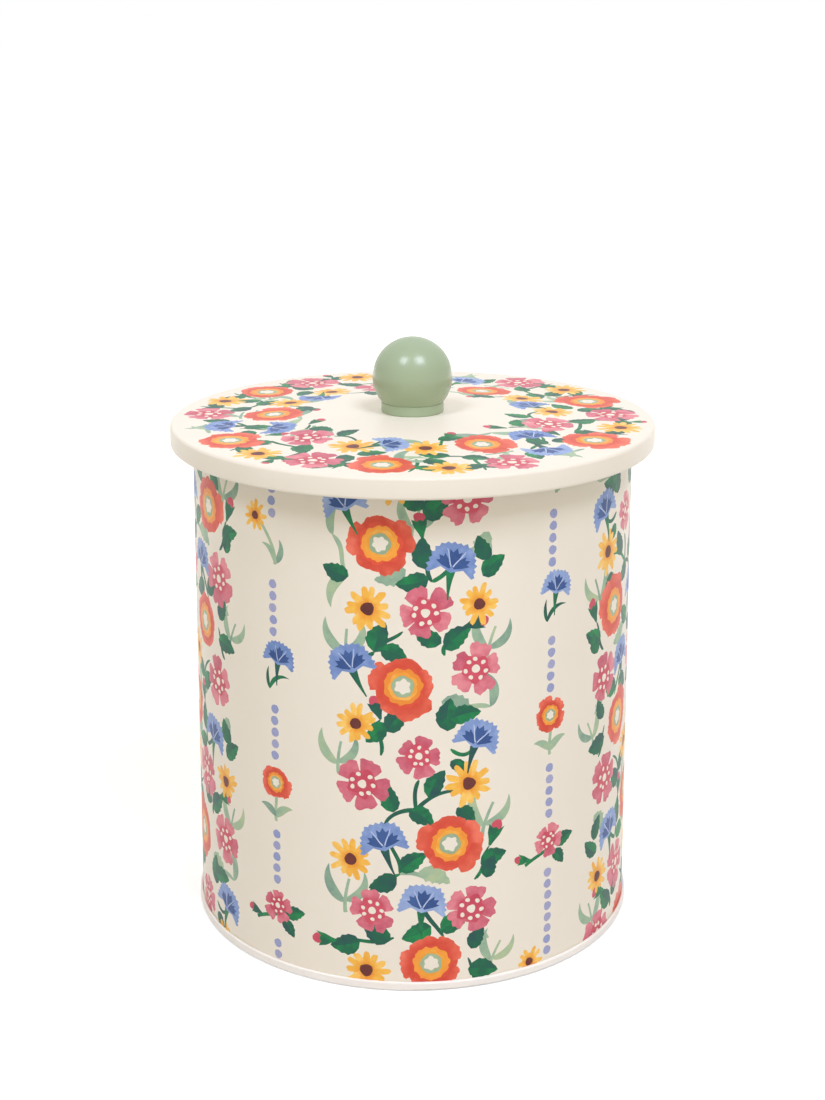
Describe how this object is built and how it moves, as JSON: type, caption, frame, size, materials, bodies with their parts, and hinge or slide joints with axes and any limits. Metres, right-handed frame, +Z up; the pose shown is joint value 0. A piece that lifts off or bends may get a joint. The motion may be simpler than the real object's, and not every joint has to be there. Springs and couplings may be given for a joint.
{
  "type": "biscuit tin",
  "caption": "Round straight-sided tin for biscuits with a flat overhanging lift-off lid, a small ball knob and a floral print on a cream ground.",
  "frame": {"origin": "centre of the circle that the tin stands on", "axes": "+Z up along the tin's axis towards the knob; the wall's lock seam is on +Y, the back"},
  "size_m": [0.1652, 0.1652, 0.2],
  "materials": {
    "printed_tinplate": "satin cream enamel with a printed floral pattern",
    "cream_tinplate": "satin cream enamel",
    "bare_tinplate": "plain lacquered tinplate",
    "seal_silicone": "matte, translucent white silicone",
    "sage_knob": "satin sage green paint",
    "insert_brass": "machined",
    "fixing_steel": "zinc plated"
  },
  "bodies": {
    "tin": {"body_wall": "printed_tinplate", "base_panel": "cream_tinplate"},
    "lid": {"lid_shell": "printed_tinplate", "lid_plug": "bare_tinplate", "lid_seal": "seal_silicone", "knob": "sage_knob", "knob_insert": "insert_brass", "knob_washer": "fixing_steel", "knob_screw": "fixing_steel"}
  },
  "joints": [
    {"name": "lid_lift", "type": "slide", "parent": "tin", "child": "lid", "axis": [0, 0, 1], "range_m": [0, 0.14]}
  ]
}
